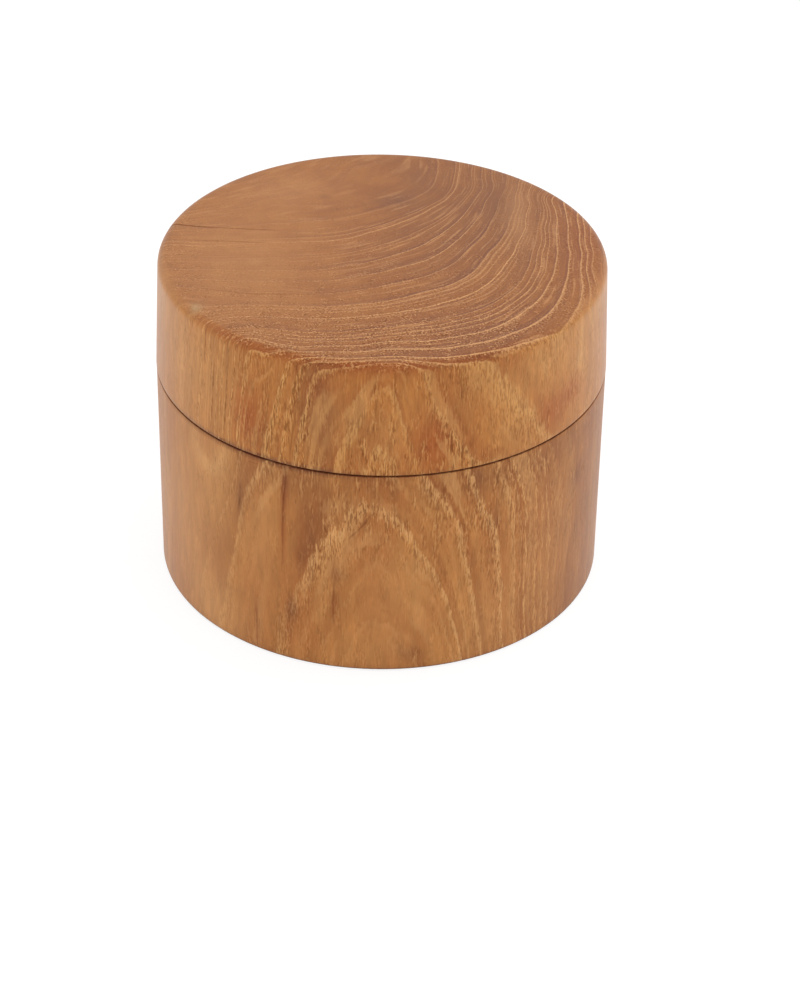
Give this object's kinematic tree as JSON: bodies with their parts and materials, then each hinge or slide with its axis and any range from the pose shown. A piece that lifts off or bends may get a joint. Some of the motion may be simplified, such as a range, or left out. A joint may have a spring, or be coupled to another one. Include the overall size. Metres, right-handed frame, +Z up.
{
  "type": "wooden storage jar",
  "caption": "Round turned wooden storage jar with a straight wall and a tall lid that lifts off a raised inner rim.",
  "frame": {"origin": "centre of the ring that the jar stands on", "axes": "+Z up, along the turning axis; -Y is the side that faces the viewer; +X to the viewer's right"},
  "size_m": [0.12, 0.12, 0.0916],
  "materials": {
    "body_wood": "oiled satin teak, long grain on the wall",
    "lid_wood": "oiled satin teak, end grain on the top"
  },
  "bodies": {
    "jar": {"jar_body": "body_wood"},
    "lid": {"lid": "lid_wood"}
  },
  "joints": [
    {"name": "lid_lift", "type": "slide", "parent": "jar", "child": "lid", "axis": [0, 0, 1], "range_m": [0, 0.12]}
  ]
}
